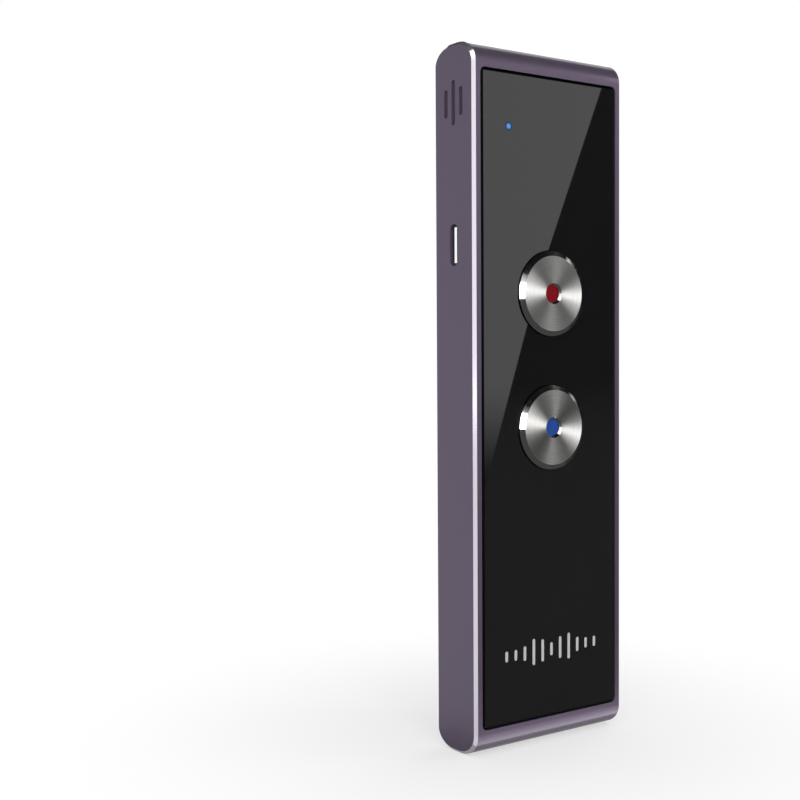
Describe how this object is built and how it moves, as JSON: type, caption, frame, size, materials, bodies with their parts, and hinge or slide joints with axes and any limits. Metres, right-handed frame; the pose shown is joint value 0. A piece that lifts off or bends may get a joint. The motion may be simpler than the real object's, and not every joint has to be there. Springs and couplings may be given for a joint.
{
  "type": "handheld translator",
  "caption": "Slim bar-shaped handheld voice translator with round press buttons, side keys, loudspeaker grille and charging port.",
  "frame": {"origin": "centre of the flat back face", "axes": "+Z along the bar towards the loudspeaker end, +Y out of the back face, +X to the right of someone facing the front"},
  "size_m": [0.0405, 0.0137, 0.142],
  "materials": {
    "anodised_aluminium": "satin anodised, purple-grey, polished edge bevels",
    "black_panel": "high-gloss black",
    "adhesive_tape": "black foam tape",
    "copper_flex": "amber flexible circuit",
    "moulded_frame": "fine moulded black",
    "screw_steel": "plated",
    "circuit_board": "green solder mask",
    "chip_plastic": "moulded epoxy",
    "can_metal": "tinned",
    "battery_foil": "laminated foil pouch",
    "connector_plastic": "natural nylon",
    "lead_sleeve": "silicone sleeve",
    "dust_mesh": "fine woven mesh",
    "black_rubber": "matt",
    "cone_film": "formed film",
    "contact_brass": "gold flash",
    "port_metal": "nickel plated",
    "light_chip": "clear epoxy",
    "blue_light": "clear, lit blue",
    "turned_steel": "spun face, polished bevel",
    "red_window": "translucent red",
    "blue_window": "translucent blue",
    "key_metal": "polished, purple-grey"
  },
  "bodies": {
    "root": {"housing": "anodised_aluminium", "front_panel": "black_panel", "panel_adhesive": "adhesive_tape", "antenna": "copper_flex", "mid_frame": "moulded_frame", "frame_screws": "screw_steel", "main_board": "circuit_board", "processor": "chip_plastic", "memory_chip": "chip_plastic", "radio_module": "can_metal", "clock_crystal": "can_metal", "shield_can": "can_metal", "board_parts": "chip_plastic", "battery_tape": "adhesive_tape", "battery_cell": "battery_foil", "battery_plug": "connector_plastic", "battery_leads": "lead_sleeve", "grille_mesh": "dust_mesh", "speaker_gasket": "black_rubber", "speaker_frame": "moulded_frame", "speaker_cone": "cone_film", "speaker_magnet": "can_metal", "speaker_contacts": "contact_brass", "microphone_boots": "black_rubber", "microphones": "can_metal", "port_shell": "port_metal", "port_tongue": "port_metal", "status_light": "light_chip", "light_guide": "blue_light", "button_switches": "chip_plastic", "button_lights": "light_chip", "side_key_bracket": "moulded_frame", "side_key_board": "circuit_board", "side_key_switches": "chip_plastic"},
    "upper_button": {"button_cap_upper": "turned_steel", "button_holder_upper": "moulded_frame", "button_window_upper": "red_window", "button_plunger_upper": "connector_plastic"},
    "lower_button": {"button_cap_lower": "turned_steel", "button_holder_lower": "moulded_frame", "button_window_lower": "blue_window", "button_plunger_lower": "connector_plastic"},
    "power_button": {"power_key": "key_metal", "power_plunger": "connector_plastic"},
    "volume_button": {"volume_rocker": "key_metal", "volume_plungers": "connector_plastic"}
  },
  "joints": [
    {"name": "upper_button_press", "type": "slide", "parent": "root", "child": "upper_button", "axis": [0, 1, 0], "range_m": [0, 0.00025], "stiffness_N_per_m": 6400},
    {"name": "lower_button_press", "type": "slide", "parent": "root", "child": "lower_button", "axis": [0, 1, 0], "range_m": [0, 0.00025], "stiffness_N_per_m": 6400},
    {"name": "power_key_press", "type": "slide", "parent": "root", "child": "power_button", "axis": [-1, 0, 0], "range_m": [0, 0.00025], "stiffness_N_per_m": 6400},
    {"name": "volume_rocker_tilt", "type": "hinge", "parent": "root", "child": "volume_button", "pos_m": [0.0173, -0.0064, 0.00925], "axis": [0, 1, 0], "range_deg": [-1.2, 1.2], "stiffness_Nm_per_rad": 0.7}
  ]
}
